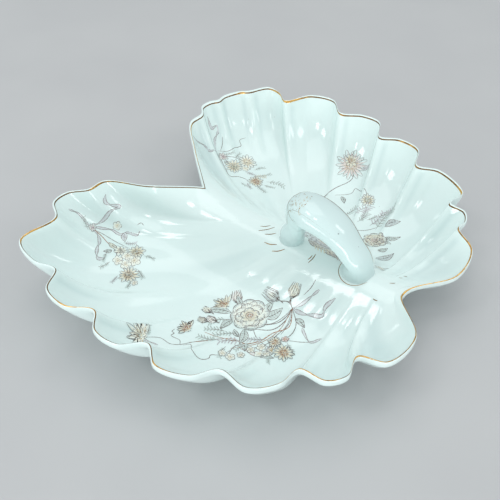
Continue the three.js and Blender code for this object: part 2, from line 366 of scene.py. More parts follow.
def add_node(tree, kind, sockets=None, **settings):
    """Add a node of that kind, set its settings, and fill each named socket with a value or a link."""
    node = tree.nodes.new("ShaderNode" + kind)
    for name, value in settings.items():
        setattr(node, name, value)
    for name, value in (sockets or {}).items():
        if isinstance(value, bpy.types.NodeSocket):
            tree.links.new(value, node.inputs[name])
        else:
            node.inputs[name].default_value = value
    return node


def start_material(name):
    """A new material with an empty node tree, and where its surface is in object space."""
    material = bpy.data.materials.new(name)
    material.use_nodes = True
    tree = material.node_tree
    tree.nodes.clear()
    place = add_node(tree, "TexCoord").outputs["Object"]
    return material, tree, place


def end_material(tree, sockets):
    """Give a material its surface, with these sockets set."""
    surface = add_node(tree, "BsdfPrincipled", sockets)
    add_node(tree, "OutputMaterial", {"Surface": surface.outputs["BSDF"]})


def per_mm(size):
    """Texture scale, in metres of object space, for features about that many millimetres across."""
    return 1 / (size * MM)


def glaze_coat(tree, place):
    """Colour, gloss and relief of the clear glaze, shared by the plain and the printed porcelain."""
    clouds = add_node(tree, "TexNoise", {"Vector": place, "Scale": per_mm(35), "Detail": 3.0})
    white = add_node(
        tree, "Mix",
        {"Factor": clouds.outputs["Fac"], "A": srgb("#D9ECEA"), "B": srgb("#E2F1EF")},
        data_type="RGBA",
    )
    # Bluer, darker glaze in the flute valleys: partly the glaze's own pooling, partly painted shade; on the
    # handle it is painted shade only.
    pool = add_node(tree, "Attribute", attribute_name="pool")
    pooled_and_shaded = add_node(
        tree, "Mix",
        {"Factor": pool.outputs["Fac"], "A": white.outputs["Result"], "B": srgb("#BCD3D3")},
        data_type="RGBA",
    )
    # Iron specks in the clay are about 0.2 mm; they are drawn three times as large to show.
    cells = add_node(tree, "TexVoronoi", {"Vector": place, "Scale": per_mm(16)})
    speck = add_node(
        tree, "MapRange",
        {
            "Value": cells.outputs["Distance"],
            "From Min": 0.012, "From Max": 0.03,
            "To Min": 0.5, "To Max": 0.0,
        },
    )
    colour = add_node(
        tree, "Mix",
        {"Factor": speck.outputs["Result"], "A": pooled_and_shaded.outputs["Result"], "B": srgb("#8C8B84")},
        data_type="RGBA",
    )
    gloss = add_node(tree, "MapRange", {"Value": clouds.outputs["Fac"], "To Min": 0.06, "To Max": 0.13})
    peel = add_node(tree, "TexNoise", {"Vector": place, "Scale": per_mm(9), "Detail": 1.0})
    relief = add_node(tree, "Bump", {"Height": peel.outputs["Fac"], "Strength": 0.05, "Distance": 0.0006})
    return colour.outputs["Result"], gloss.outputs["Result"], relief.outputs["Normal"]


def glazed_porcelain():
    """Slip-cast porcelain under a clear glaze: cool white and glassy, bluer and darker where the glaze
    gathers, as painted shade in part.
    """
    material, tree, place = start_material("glazed_porcelain")
    colour, gloss, relief = glaze_coat(tree, place)
    end_material(tree, {"Base Color": colour, "Roughness": gloss, "Normal": relief, "IOR": 1.52})
    return material


def transfer_print():
    """Ink transfer under the glaze: sepia lines and thin tints, with a broken, grainy edge."""
    material, tree, place = start_material("underglaze_transfer_print")
    colour, gloss, relief = glaze_coat(tree, place)
    ink = add_node(tree, "Attribute", attribute_name="ink")
    cover = add_node(tree, "Attribute", attribute_name="cover")
    # The grain of a transfer is about 0.3 mm; it is drawn coarser to show.
    grain = add_node(tree, "TexNoise", {"Vector": place, "Scale": per_mm(1.4), "Detail": 2.0})
    broken = add_node(
        tree, "MapRange",
        {"Value": grain.outputs["Fac"], "From Min": 0.3, "From Max": 0.55, "To Min": 0.55, "To Max": 1.0},
    )
    amount = add_node(
        tree, "Math",
        {0: cover.outputs["Fac"], 1: broken.outputs["Result"]},
        operation="MULTIPLY",
    )
    printed = add_node(
        tree, "Mix",
        {"Factor": amount.outputs["Value"], "A": colour, "B": ink.outputs["Color"]},
        data_type="RGBA",
    )
    end_material(
        tree,
        {"Base Color": printed.outputs["Result"], "Roughness": gloss, "Normal": relief, "IOR": 1.52},
    )
    return material


def worn_gold():
    """Fired gold rubbed by use: bright where it lies thick, brown and dull where it is thin."""
    material, tree, place = start_material("worn_fired_gold")
    shine = add_node(tree, "Attribute", attribute_name="shine")
    patches = add_node(tree, "TexNoise", {"Vector": place, "Scale": per_mm(3), "Detail": 3.0})
    bright = add_node(
        tree, "Math",
        {0: shine.outputs["Fac"], 1: patches.outputs["Fac"]},
        operation="MULTIPLY",
    )
    amount = add_node(
        tree, "MapRange",
        {"Value": bright.outputs["Value"], "From Min": 0.15, "From Max": 0.45},
    )
    colour = add_node(
        tree, "Mix",
        {"Factor": amount.outputs["Result"], "A": srgb("#77582F"), "B": srgb("#DDB064")},
        data_type="RGBA",
    )
    dull = add_node(tree, "MapRange", {"Value": amount.outputs["Result"], "To Min": 0.5, "To Max": 0.28})
    end_material(
        tree,
        {"Base Color": colour.outputs["Result"], "Metallic": 1.0, "Roughness": dull.outputs["Result"]},
    )
    return material


def biscuit_foot():
    """Unglazed porcelain ground flat where the foot stands: warm white, matt and finely gritty."""
    material, tree, place = start_material("unglazed_biscuit_foot")
    # The grit is about 0.1 mm; it is drawn coarser to show.
    grit = add_node(tree, "TexNoise", {"Vector": place, "Scale": per_mm(0.8), "Detail": 4.0})
    colour = add_node(
        tree, "Mix",
        {"Factor": grit.outputs["Fac"], "A": srgb("#CFC8BA"), "B": srgb("#E9E4DA")},
        data_type="RGBA",
    )
    bump = add_node(tree, "Bump", {"Height": grit.outputs["Fac"], "Strength": 0.3, "Distance": 0.0002})
    end_material(tree, {
        "Base Color": colour.outputs["Result"],
        "Roughness": 0.75,
        "Normal": bump.outputs["Normal"],
        "IOR": 1.5,
    })
    return material


def pale_floor():
    """Matt painted board: plain pale grey with a faint mottle."""
    material, tree, place = start_material("matt_painted_board")
    mottle = add_node(tree, "TexNoise", {"Vector": place, "Scale": per_mm(120), "Detail": 2.0})
    colour = add_node(
        tree, "Mix",
        {"Factor": mottle.outputs["Fac"], "A": srgb("#B4B6B8"), "B": srgb("#BEC0C1")},
        data_type="RGBA",
    )
    end_material(tree, {"Base Color": colour.outputs["Result"], "Roughness": 0.8, "IOR": 1.45})
    return material


def add_piece(name, points, faces, materials):
    """A smooth mesh piece from points in millimetres, riding on the dish."""
    mesh = bpy.data.meshes.new(name)
    mesh.from_pydata((np.asarray(points) * MM).tolist(), [], faces)
    for material in materials:
        mesh.materials.append(material)
    mesh.shade_smooth()
    piece = bpy.data.objects.new(name, mesh)
    bpy.context.scene.collection.objects.link(piece)
    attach(piece, "root")
    return piece


def set_attribute(piece, name, values, kind="FLOAT", field="value"):
    """Give each point of a piece its own value for the materials to read."""
    attribute = piece.data.attributes.new(name, kind, "POINT")
    attribute.data.foreach_set(field, np.ascontiguousarray(values, dtype=np.float32).ravel())


def loop_faces(steps, sides, closed_steps=False):
    """Quads over a grid of section loops, laid out step by step, each loop closed on itself."""
    index = np.arange(steps * sides).reshape(steps, sides)
    if closed_steps:
        index = np.vstack([index, index[:1]])
    here, ahead = index[:-1], index[1:]
    next_here, next_ahead = np.roll(here, -1, 1), np.roll(ahead, -1, 1)
    return np.stack([here, ahead, next_ahead, next_here], -1).reshape(-1, 4).tolist()


def closed_loops(steps, sides):
    """Quads over a grid of section loops, with a face over the first loop and over the last."""
    first_end = list(range(sides))
    last_end = list(range(steps * sides - 1, (steps - 1) * sides - 1, -1))
    return loop_faces(steps, sides) + [first_end, last_end]


def sheet_faces(places, normals, first=0):
    """Quads over an open grid of points, turned to face along the normals."""
    rows, columns = places.shape[:2]
    index = np.arange(rows * columns).reshape(rows, columns) + first
    quads = np.stack([index[:-1, :-1], index[1:, :-1], index[1:, 1:], index[:-1, 1:]], -1).reshape(-1, 4)
    facing = np.cross(np.gradient(places, axis=0), np.gradient(places, axis=1))
    if (facing * normals).sum() < 0:
        quads = quads[:, ::-1]
    return quads.tolist()


def build_shell(name, rim_points, side, lip_shares, flute_shares, porcelain):
    """One scallop shell: inside face, rounded lip and outside face, closed at the ridge."""
    last_shoulder = rim_points[-2]
    across_the_notch = (last_shoulder[0], -last_shoulder[1])
    rim = spline([*rim_points, across_the_notch], RIM_STEPS)[:-RIM_STEPS] * [1, side]
    inside = shell_face(rim, INSIDE_ROWS)
    outside = shell_face(rim, OUTSIDE_ROWS, LIP_OVERHANG * spaced(lip_shares, len(rim)))
    flutes = spaced(flute_shares, len(rim))
    for face in (inside, outside):
        soften_creases(face)
    raise_ribs(inside, flutes)
    lip = lip_curve(inside[:, -1], outside[:, -1])
    grid = np.concatenate([inside, lip, outside[:, ::-1]], axis=1)
    steps, sides = grid.shape[:2]
    faces = closed_loops(steps, sides)
    if side > 0:
        faces = [face[::-1] for face in faces]
    shell = add_piece(name + "_glazed", grid.reshape(-1, 3), faces, [porcelain])
    normals = np.array([vertex.normal for vertex in shell.data.vertices])
    on_ridge = np.abs(grid.reshape(-1, 3)[:, 1]) < RIDGE_TOLERANCE
    normals[on_ridge, 1] = 0
    shell.data.normals_split_custom_set_from_vertices(unit(normals).tolist())
    # The flute valleys take a bluer, darker glaze colour: partly pooling glaze, partly painted shade.
    pools = glaze_pools_and_shade(inside, flutes)
    set_attribute(shell, "pool", np.pad(pools, ((0, 0), (0, sides - INSIDE_ROWS))))
    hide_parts(name)
    return Shell(inside, lip, outside, pools)


class Ground:
    """The glazed faces of both shells, on which the prints, the handle's roots and the feet are laid."""

    def __init__(self, grids, pools=()):
        self.points = []
        self.normals = []
        self.faces = []
        self.pools = [depth for shell_pools_and_shade in pools for depth in shell_pools_and_shade.ravel()]
        for grid in grids:
            normals = upward_normals(grid)
            self.faces += sheet_faces(grid, normals, len(self.points))
            self.points += [Vector(point) for point in grid.reshape(-1, 3)]
            self.normals += [Vector(normal) for normal in normals.reshape(-1, 3)]
        self.tree = BVHTree.FromPolygons(self.points, self.faces)

    def shares(self, face, place):
        """The corners of a face and how much each counts at a place on it."""
        corners = self.faces[face]
        return zip(corners, poly_3d_calc([self.points[corner] for corner in corners], place))

    def under(self, start, direction):
        """Where a line from start meets the glaze, and the smooth normal there."""
        place, _, face, _ = self.tree.ray_cast(Vector(start), Vector(direction))
        if place is None:
            return None
        normal = Vector()
        for corner, weight in self.shares(face, place):
            normal += self.normals[corner] * weight
        return place, normal.normalized()

    def pool_and_shade_at(self, point):
        """How much glaze pooling and painted shade lies under a point, from 0 to 1."""
        place, _, face, _ = self.tree.find_nearest(Vector(point))
        return sum(self.pools[corner] * weight for corner, weight in self.shares(face, place))


def handle_sections():
    """Rounded strap sections; corner 0 faces the rear and a quarter of the way round faces outward."""
    stations = np.array(HANDLE_STATIONS)
    path = spline(stations[:, :3], HANDLE_STEPS)
    size = spline(stations[:, 3:], HANDLE_STEPS)
    run = unit(np.gradient(path, axis=0) * [1, 0, 1])
    angle = 2 * math.pi * np.arange(HANDLE_SIDES) / HANDLE_SIDES
    circle = np.cos(angle), np.sin(angle)
    across, out = (np.sign(part) * np.abs(part) ** (2 / HANDLE_SQUARENESS) for part in circle)
    wide = size[:, :1] * across
    drop = HANDLE_EDGE_DROP * np.clip((path[:, 2:] - STRAP_START) / STRAP_BLEND, 0, 1)
    thick = size[:, 1:] * (out - drop * (1 - np.abs(out)))
    x = path[:, :1] - run[:, 2:] * thick
    z = path[:, 2:] + run[:, :1] * thick
    return np.dstack([x, path[:, 1:2] + wide, z]), path


def build_handle(ground, porcelain):
    """The strap, let into the ridge at both roots with a small luted fillet."""
    sections, path = handle_sections()
    steps, sides = sections.shape[:2]
    for step in range(steps):
        for side in range(sides):
            point = sections[step, side]
            seat = ground.under((point[0], point[1], ABOVE_DISH), (0, 0, -1))
            if seat is None:
                continue
            above = point[2] - seat[0].z
            if above < LUTING_HEIGHT:
                spread = (1 - max(above, 0) / LUTING_HEIGHT) ** 2 * LUTING_FLARE
                outward = (point - path[step]) * [1, 1, 0]
                point[:] += unit(outward) * spread
                point[2] = max(point[2], seat[0].z - SEAT_DEPTH)
    faces = closed_loops(steps, sides)
    handle = add_piece("handle_glazed", sections.reshape(-1, 3), faces, [porcelain])
    # The whole handle is painted a share darker and bluer: painted shade that tones down its lit top.
    set_attribute(handle, "pool", np.full(steps * sides, HANDLE_PAINTED_SHADE))
    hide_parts("handle")
    return Strap(sections, path)


def build_foot_ring(name, side, underside, porcelain, biscuit):
    """An oval foot ring with rounded edges, glazed on its sides and bare where it stands."""
    half = FOOT_WIDTH / 2
    rounded = []
    for turn in np.linspace(0, math.pi / 2, FOOT_EDGE_STEPS):
        across = half - FOOT_EDGE + FOOT_EDGE * math.cos(turn)
        rounded.append((across, FOOT_EDGE - FOOT_EDGE * math.sin(turn)))
    profile = [(half, None)] + rounded + [(-across, up) for across, up in rounded[::-1]] + [(-half, None)]
    points = []
    for turn in np.linspace(0, 2 * math.pi, FOOT_STEPS, endpoint=False):
        for across, up in profile:
            x = FOOT_CENTRE[0] + (FOOT_HALF_SIZE[0] - half + across) * math.cos(turn)
            y = side * FOOT_CENTRE[1] + (FOOT_HALF_SIZE[1] - half + across) * math.sin(turn)
            if up is None:
                seat, _ = underside.under((x, y, -ABOVE_DISH), (0, 0, 1))
                up = seat.z + SEAT_DEPTH
            points.append((x, y, up))
    faces = loop_faces(FOOT_STEPS, len(profile), closed_steps=True)
    ring = add_piece(name + "_fired", points, faces, [porcelain, biscuit])
    for face in ring.data.polygons:
        corners = [ring.data.vertices[corner].co.z for corner in face.vertices]
        face.material_index = int(max(corners) < FOOT_BARE_SHARE * FOOT_EDGE * MM)
    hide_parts(name)


def wear_along(count, seed):
    """Uneven wear from 0 to 1 along a gilt line: long patches broken up by short ones."""
    random = np.random.default_rng(seed)
    wear = np.zeros(count)
    for length, share in WEAR_PATCHES:
        wear += share * spaced(random.uniform(0, 1, count // length + 2), count)
    return wear


def gilt_band(places, normals):
    """Raise the middle of a band of gold, less where it is narrow, and let its edges dip into the glaze."""
    width = np.linalg.norm(places[:, -1] - places[:, 0], axis=1)
    dome = np.array(GOLD_DOME) * GOLD_LIFT * np.minimum(1, width / FULL_DOME_WIDTH)[:, None]
    return places + normals * dome[..., None]


def gild_rim(name, shell, ride, seed, gold):
    """The gold line on the lip's inner edge, broad on some scallop tips and rubbed thin elsewhere."""
    profile = np.concatenate([shell.inside[:, -RIM_GOLD_ROWS:], shell.lip], axis=1)
    lengths = np.linalg.norm(np.diff(profile, axis=1), axis=2)
    run = np.concatenate([np.zeros((len(profile), 1)), np.cumsum(lengths, axis=1)], axis=1)
    run -= run[:, RIM_GOLD_ROWS - 1:RIM_GOLD_ROWS]
    thick = np.clip(RIM_WEAR_CONTRAST * wear_along(len(profile), seed) - RIM_WORN_AWAY, 0, 1)
    share = np.interp(np.linspace(0, 1, len(profile)), np.linspace(0, 1, len(ride)), ride)[:, None]
    extents = np.array(INSIDE_RIM_GOLD) * (1 - share) + np.array(LIP_RIM_GOLD) * share
    places = np.zeros((len(profile), GOLD_COLUMNS, 3))
    for step, (start, worn_end, thick_end) in enumerate(extents):
        end = worn_end + (thick_end - worn_end) * thick[step] ** 2
        spots = np.linspace(start, end, GOLD_COLUMNS)
        for axis in range(3):
            places[step, :, axis] = np.interp(spots, run[step], profile[step, :, axis])
    normals = upward_normals(places)
    band = gilt_band(places, normals)
    piece = add_piece(name + "_worn", band.reshape(-1, 3), sheet_faces(band, normals), [gold])
    set_attribute(piece, "shine", np.repeat(thick, GOLD_COLUMNS))
    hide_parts(name)


def handle_normals(sections):
    """Outward normals of the strap at each point of its sections."""
    around = np.roll(sections, -1, 1) - np.roll(sections, 1, 1)
    normals = unit(np.cross(around, np.gradient(sections, axis=0)))
    outward = sections - sections.mean(axis=1, keepdims=True)
    return np.where((normals * outward).sum(axis=2, keepdims=True) < 0, -normals, normals)


class Strap:
    """The outside of the handle, on which gold is laid by distance from the left root and by corner."""

    def __init__(self, sections, path):
        self.sections = sections
        self.normals = handle_normals(sections)
        self.distance = np.append(0, np.cumsum(np.linalg.norm(np.diff(path, axis=0), axis=1)))

    def at(self, marks):
        """Places and normals at (distance, corner) marks, between the points of the sections."""
        step = np.interp(marks[:, 0], self.distance, np.arange(len(self.distance)))
        low, side = step.astype(int), marks[:, 1].astype(int)
        ahead, across = (step - low)[:, None], (marks[:, 1] - side)[:, None]
        found = []
        for grid in (self.sections, self.normals):
            near = grid[low, side] * (1 - across) + grid[low, side + 1] * across
            far = grid[low + 1, side] * (1 - across) + grid[low + 1, side + 1] * across
            found.append(near * (1 - ahead) + far * ahead)
        return found

    def spot(self, distance, corner):
        """A place on the strap with its own directions: across, ahead and out of the glaze."""
        mark = np.array([[distance, corner]])
        (place,), (normal,) = self.at(mark)
        (beyond,), _ = self.at(mark + [0, 1])
        across = unit(beyond - place)
        return place, across, np.cross(normal, across), normal


def gild_handle(name, strap, lines, touches, seed, gold):
    """Worn gold lines on the strap, and rubbed touches of the brush on its left shoulder."""
    random = np.random.default_rng(seed)
    points, faces, shine = [], [], []
    for line, widths in lines:
        marks = spline(line, STRAP_LINE_STEPS // (len(line) - 1))
        places, normals = strap.at(marks)
        share = np.linspace(0, 1, len(marks))
        half = 0.5 * np.interp(share, np.linspace(0, 1, len(widths)), widths)
        half *= WORN_LINE_SHARE + LINE_WEAR_SHARE * wear_along(len(marks), seed)
        side = unit(np.cross(np.gradient(places, axis=0), normals))
        columns = np.linspace(-1, 1, GOLD_COLUMNS)[None, :, None]
        flat = places[:, None] + side[:, None] * columns * half[:, None, None]
        upright = np.repeat(normals[:, None], GOLD_COLUMNS, axis=1)
        band = gilt_band(flat, upright)
        faces += sheet_faces(band, upright, len(points))
        points += band.reshape(-1, 3).tolist()
        shine += np.repeat(STRAP_LINE_SHINE * wear_along(len(marks), seed + 1), GOLD_COLUMNS).tolist()
    for _ in range(touches):
        distance = random.uniform(*STIPPLE_SPAN)
        place, across, ahead, normal = strap.spot(distance, random.uniform(*STIPPLE_CORNERS))
        size = random.uniform(*STIPPLE_SIZES)
        first = len(points)
        for turn in np.linspace(0, 2 * math.pi, STIPPLE_SIDES, endpoint=False):
            reach = math.cos(turn) * across + STIPPLE_SLIMNESS * math.sin(turn) * ahead
            points.append(place + GOLD_LIFT * normal + size * reach)
        faces.append(list(range(first, first + STIPPLE_SIDES)))
        shine += [STIPPLE_SHINE] * STIPPLE_SIDES
    piece = add_piece(name + "_worn", points, faces, [gold])
    set_attribute(piece, "shine", shine)
    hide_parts(name)


class Print:
    """One printed spray: ink lines and soft tints on the glaze, gathered into one thin mesh."""

    def __init__(self, ground, seed):
        self.ground = ground
        self.random = np.random.default_rng(seed)
        self.lift = PRINT_LIFT
        self.points = []
        self.normals = []
        self.faces = []
        self.inks = []
        self.covers = []

    def spot(self, x, y, heading):
        """A place on the glaze with its own directions: right, ahead and out of the glaze."""
        place, normal = self.ground.under((x, y, ABOVE_DISH), (0, 0, -1))
        turn = math.radians(heading)
        ahead = Vector((math.cos(turn), math.sin(turn), 0))
        ahead = (ahead - ahead.dot(normal) * normal).normalized()
        return place, ahead.cross(normal), ahead, normal

    def settle(self, spot, flat):
        """Points drawn flat at a spot, laid down on the glaze: their places and normals."""
        place, right, ahead, normal = spot
        found = []
        for u, v in flat:
            start = place + right * u + ahead * v + normal * ABOVE_GLAZE
            found.append(self.ground.under(start, -normal) or (place, normal))
        return np.array(found)

    def drop(self, plan):
        """Points given in plan, dropped onto the glaze: their places and normals."""
        found = [self.ground.under((x, y, ABOVE_DISH), (0, 0, -1)) for x, y in plan]
        return np.array([hit for hit in found if hit])

    def add_sheet(self, places, normals, inks, covers):
        """Add a sheet of quads at the present lift."""
        self.faces += sheet_faces(places, normals, len(self.points))
        self.points += (places + normals * self.lift).reshape(-1, 3).tolist()
        self.normals += normals.reshape(-1, 3).tolist()
        self.inks += np.broadcast_to(inks, places.shape[:2] + (4,)).reshape(-1, 4).tolist()
        self.covers += np.broadcast_to(covers, places.shape[:2]).ravel().tolist()

    def add_tint(self, places, normals, inks, covers):
        """Add a tinted sheet above everything laid so far; the strokes after it lie above it."""
        self.lift += PRINT_LIFT_STEP
        self.add_sheet(places, normals, inks, covers)
        self.lift += PRINT_LIFT_STEP

    def stroke(self, settled, width, ink, cover=1.0):
        """A pen stroke along settled points, tapered to both ends."""
        places, normals = settled[:, 0], settled[:, 1]
        side = unit(np.cross(np.gradient(places, axis=0), normals))
        share = np.linspace(0, 1, len(places))
        half = 0.5 * width * (STROKE_END + (1 - STROKE_END) * np.sin(math.pi * share) ** 0.5)
        edges = places[:, None] + side[:, None] * np.stack([-half, half], 1)[..., None]
        self.add_sheet(edges, np.stack([normals, normals], 1), srgb(ink), cover)

    def draw(self, spot, flat, width, ink, cover=1.0):
        """A smooth stroke through points drawn flat at a spot."""
        self.stroke(self.settle(spot, spline(flat, STROKE_STEPS)), width, ink, cover)

    def trail(self, plan, width, ink, cover=1.0):
        """A smooth stroke through points given in plan."""
        self.stroke(self.drop(spline(plan, TRAIL_STEPS)), width, ink, cover)

    def tint(self, spot, outline, rings):
        """A soft patch of colour inside an outline; each ring is (share of the outline, ink, cover)."""
        middle = np.mean(outline, axis=0)
        loop = np.vstack([outline, outline[:1]]) - middle
        along = np.append(0, np.cumsum(np.linalg.norm(np.diff(loop, axis=0), axis=1)))
        fine = np.linspace(0, along[-1], max(len(loop), int(along[-1] / TINT_STEP)))
        loop = np.stack([np.interp(fine, along, loop[:, axis]) for axis in (0, 1)], 1)
        marks = [share for share, _, _ in rings[::-1]]
        rows = int(np.linalg.norm(loop, axis=1).max() / TINT_STEP)
        shares = np.linspace(1, marks[0], max(LEAST_TINT_ROWS, rows))
        settled = np.array([self.settle(spot, middle + share * loop) for share in shares])
        colours = np.array([srgb(ink) for _, ink, _ in rings[::-1]])
        inks = np.stack([np.interp(shares, marks, channel) for channel in colours.T], 1)
        covers = np.interp(shares, marks, [cover for _, _, cover in rings[::-1]])
        self.add_tint(settled[:, :, 0], settled[:, :, 1], inks[:, None], covers[:, None])

    def finish(self, name, material):
        """Turn the gathered sheets into one piece."""
        piece = add_piece(name, self.points, self.faces, [material])
        piece.data.normals_split_custom_set_from_vertices(self.normals)
        set_attribute(piece, "ink", self.inks, "FLOAT_COLOR", "color")
        set_attribute(piece, "cover", self.covers)
        # The prints take the glaze pooling and painted shade of the glaze beneath them.
        set_attribute(piece, "pool", [self.ground.pool_and_shade_at(point) for point in self.points])
        return piece


# Inks of the transfer: sepia line work with thin tints.
SEPIA = "#695A55"
DARK = "#483D39"
GREY = "#88868A"
MAUVE = "#A38D9A"
ROSY = "#D8BBB4"
STRAW = "#D4BE8E"
CREAM = "#EBE4CE"
RUST = "#9C6236"
SAGE = "#8E9C90"
RED = "#BE4A2E"


# In the motifs, plain numbers are shares of the motif's own size or of a line's width, covers of ink,
# counts of points or strokes, or turns in degrees.
def oval(x, y, wide, high, start=0, end=360, count=14):
    """Points round an oval, or along part of it, in a motif's own millimetres."""
    turn = np.radians(np.linspace(start, end, count, endpoint=end - start < 360))
    return np.stack([x + wide * np.cos(turn), y + high * np.sin(turn)], 1)


def turned(flat, degrees):
    """Flat points turned clockwise, as seen on the glaze."""
    turn = math.radians(degrees)
    cos, sin = math.cos(turn), math.sin(turn)
    return np.asarray(flat) @ np.array([[cos, -sin], [sin, cos]])


def heart(work, spot, size, ink, dots):
    """A cluster of short dark touches in the middle of a flower."""
    for _ in range(dots):
        middle = work.random.normal(0, 0.45 * size, 2)
        tip = middle + work.random.normal(0, 0.3 * size, 2)
        work.draw(spot, [middle, (middle + tip) / 2, tip], LINE * 1.3, ink)


def rose(work, x, y, heading, size, outer=CREAM, inner=STRAW):
    """A full rose: rings of rolled petals round a coiled heart."""
    spot = work.spot(x, y, heading)
    rim = oval(0, 0, size, 0.92 * size, count=20) * (1 + work.random.normal(0, 0.03, (20, 1)))
    blush = ((1, SAGE, 0.2), (0.85, outer, 0.5), (0.5, outer, 0.5), (0.3, inner, 0.6), (0.02, RUST, 0.6))
    work.tint(spot, rim, blush)
    for count, reach, broad, ink in ((8, 0.6, 0.42, SEPIA), (7, 0.42, 0.36, SEPIA), (5, 0.24, 0.26, DARK)):
        for turn in np.arange(count) * 360 / count + work.random.uniform(0, 60):
            turn += work.random.normal(0, 6)
            middle = reach * size * np.array([math.cos(math.radians(turn)), math.sin(math.radians(turn))])
            wide = broad * size
            petal = oval(*middle, wide, 0.9 * wide, turn - 105, turn + 105, 9)
            work.draw(spot, petal, LINE, ink)
            fold = oval(*middle, 0.84 * wide, 0.74 * wide, turn - 70, turn + 30, 6)
            work.draw(spot, fold, FINE_LINE, ink, 0.7)
            for spread in np.radians(turn + work.random.uniform(-80, 80, 7)):
                edge = middle + wide * np.array([0.95 * math.cos(spread), 0.85 * math.sin(spread)])
                inward = work.random.uniform(0.7, 0.9)
                work.draw(spot, [edge, 0.5 * (1 + inward) * edge, inward * edge], FINE_LINE, GREY, 0.8)
    turn = np.linspace(0, 3.6 * math.pi, 16)
    coil = np.stack([np.cos(turn), np.sin(turn)], 1) * np.linspace(0.04, 0.26, 16)[:, None] * size
    work.draw(spot, coil, LINE, DARK)
    heart(work, spot, 0.16 * size, RUST, 5)


def leaf(work, x, y, heading, length, width, tint=SAGE):
    """A pointed leaf with a bowed rib and hatched veins."""
    spot = work.spot(x, y, heading)
    share = np.linspace(0, 1, 9)
    half = 0.5 * width * np.sin(math.pi * share**0.8)
    bow = work.random.choice([-0.1, 0.1]) * length * np.sin(math.pi * share)
    left = np.stack([bow - half, length * share], 1)
    right = np.stack([bow + half, length * share], 1)
    outline = np.vstack([left, right[-2:0:-1]])
    work.tint(spot, outline, ((1, tint, 0.3), (0.7, tint, 0.5), (0.02, tint, 0.4)))
    work.draw(spot, left, LINE, SEPIA)
    work.draw(spot, right, LINE, SEPIA)
    work.draw(spot, np.stack([bow, length * share], 1), LINE, DARK)
    for row in range(2, 8):
        rib = np.array([bow[row - 1], length * share[row - 1]])
        for edge, ink in ((left[row], SEPIA), (right[row], GREY)):
            work.draw(spot, [rib, 0.5 * (rib + edge), 0.15 * rib + 0.85 * edge], FINE_LINE, ink, 0.8)


def bud(work, x, y, heading, size, tint=STRAW):
    """A closed bud of overlapping petals in a dark calyx."""
    spot = work.spot(x, y, heading)
    share = np.linspace(0, 1, 9)
    half = 0.36 * size * np.sin(math.pi * share**0.75) + 0.02 * size
    outline = np.vstack([np.stack([-half, size * share], 1), np.stack([half, size * share], 1)[::-1]])
    work.tint(spot, outline, ((1, tint, 0.2), (0.75, tint, 0.5), (0.02, CREAM, 0.5)))
    for lean in (-1, -0.55, -0.1, 0.35, 0.75, 1):
        tip = lean * 0.25 + work.random.normal(0, 0.03)
        low, high = lean * half[3] / size, lean * half[5] / size
        curve = np.array([(0, 0.05), (0.9 * low, 0.3), (high, 0.6), (tip, 0.97)])
        work.draw(spot, curve * size, LINE, SEPIA)
    for lean in (-0.3, 0.05, 0.32):
        sepal = np.array([(0, -0.05), (0.6 * lean, 0.15), (lean, 0.45)])
        work.draw(spot, sepal * size, BOLD_LINE, DARK)
    work.draw(spot, np.array([(0, 0), (0.02, -0.15), (0, -0.3)]) * size, BOLD_LINE, SEPIA)


def aster(work, x, y, heading, size, tint=STRAW, middle=RUST, spread=360, petals=13):
    """A daisy-like flower of narrow petals, whole or opened like a fan."""
    spot = work.spot(x, y, heading)
    turns = np.linspace(-spread / 2, spread / 2, petals, endpoint=spread < 360)
    reach = size * work.random.uniform(0.78, 1.08, petals)
    step = spread / petals
    outline = []
    for turn, length in zip(turns, reach):
        outline += [turned([(0, length)], turn)[0], turned([(0, 0.55 * length)], turn + step / 2)[0]]
    if spread < 360:
        outline += [(0.1 * size, -0.1 * size), (-0.1 * size, -0.1 * size)]
    blush = ((1, tint, 0.15), (0.8, tint, 0.6), (0.35, tint, 0.75), (0.02, middle, 0.75))
    work.tint(spot, np.array(outline), blush)
    for turn, length in zip(turns + work.random.normal(0, 3, petals), reach):
        half = math.sin(math.radians(min(step, 40))) * 0.34
        for lean in (-half, half):
            edge = np.array([(0, 0.2), (lean, 0.6), (0.6 * lean, 0.9), (0, 1)]) * length
            work.draw(spot, turned(edge, turn), FINE_LINE, SEPIA)
        vein = np.array([(0, 0.15), (0, 0.3), (0, 0.5)]) * length
        work.draw(spot, turned(vein, turn), LINE, middle)
    heart(work, spot, 0.2 * size, DARK, 7)


def blossom(work, x, y, heading, size, tint=CREAM, middle=DARK):
    """A small flower of five round petals."""
    spot = work.spot(x, y, heading)
    outline = []
    for turn in np.arange(5) * 72:
        outline += turned(oval(0, 0.62 * size, 0.42 * size, 0.4 * size, 160, 20, 4), turn).tolist()
    work.tint(spot, np.array(outline), ((1, tint, 0.3), (0.6, tint, 0.6), (0.02, STRAW, 0.7)))
    for turn in np.arange(5) * 72:
        petal = oval(0, 0.62 * size, 0.4 * size, 0.4 * size, -60, 240, 8)
        work.draw(spot, turned(petal, turn), FINE_LINE, SEPIA)
        vein = np.array([(0, 0.2), (0, 0.4), (0, 0.6)]) * size
        work.draw(spot, turned(vein, turn), FINE_LINE, GREY)
    heart(work, spot, 0.16 * size, middle, 6)


def sprig(work, x, y, heading, length, tint=SAGE):
    """A thin stalk with pairs of small leaflets."""
    spot = work.spot(x, y, heading)
    sway = work.random.uniform(-0.12, 0.12) * length
    work.draw(spot, [(0, 0), (sway, 0.5 * length), (0.3 * sway, length)], FINE_LINE, SEPIA)
    for share in np.linspace(0.2, 1, 6):
        root = np.array([sway * math.sin(math.pi * share), share * length])
        for side in (-1, 1):
            tip = root + np.array([side * 0.2, 0.15]) * length * work.random.uniform(0.6, 1.2)
            leaflet = [root, 0.5 * (root + tip) + [0, 0.02 * length], tip]
            work.draw(spot, leaflet, 0.065 * length, tint, 0.55)
            work.draw(spot, leaflet, 0.6 * FINE_LINE, SEPIA, 0.7)


